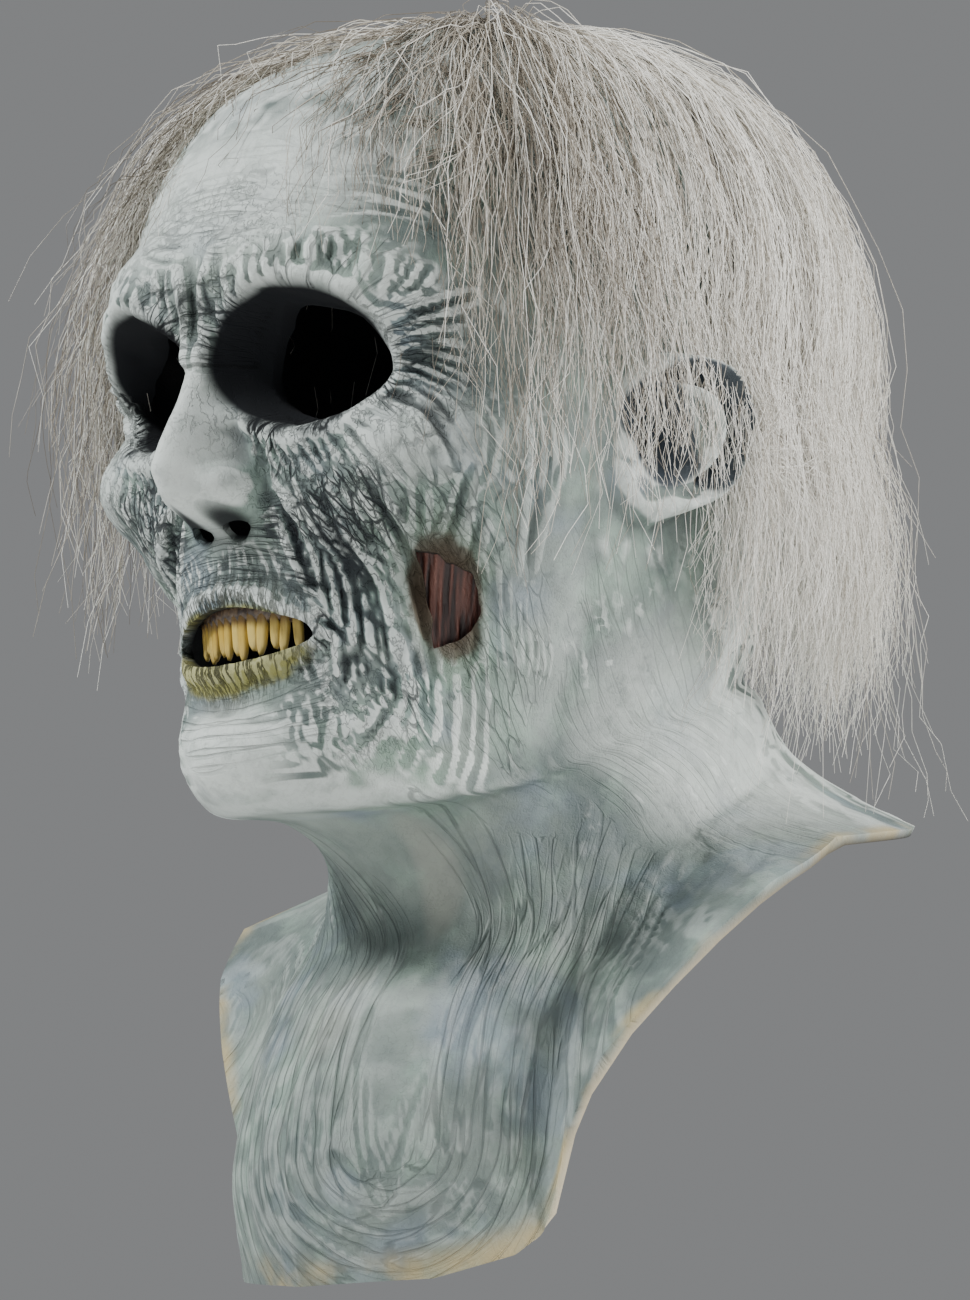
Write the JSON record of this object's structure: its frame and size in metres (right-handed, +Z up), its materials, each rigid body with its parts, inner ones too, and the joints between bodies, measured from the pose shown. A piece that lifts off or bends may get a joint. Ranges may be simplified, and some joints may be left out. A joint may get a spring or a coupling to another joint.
{
  "type": "halloween mask",
  "caption": "Full-head soft latex ghoul mask with open eye holes, bared teeth, a torn cheek, ears, a neck with a chest bib and a back flap, and long thin hair.",
  "frame": {"origin": "inside the crown at its highest point, where the top of the wearer's head meets the latex", "axes": "+Z up from the neck to the crown, -Y the way the face looks, +X to the wearer's left"},
  "size_m": [0.2274, 0.2775, 0.3945],
  "materials": {
    "latex_skin": "matt cast latex, pale blue-grey with a dark wash in the folds",
    "upper_teeth": "yellowed, with brown gaps and gum",
    "cheek_flesh": "dark red-brown and fibrous",
    "hair": "loose thin strands, grey-brown to cream white"
  },
  "bodies": {
    "root": {"latex_skin": "latex_skin", "upper_teeth": "upper_teeth", "cheek_flesh": "cheek_flesh", "hair": "hair"}
  },
  "joints": []
}
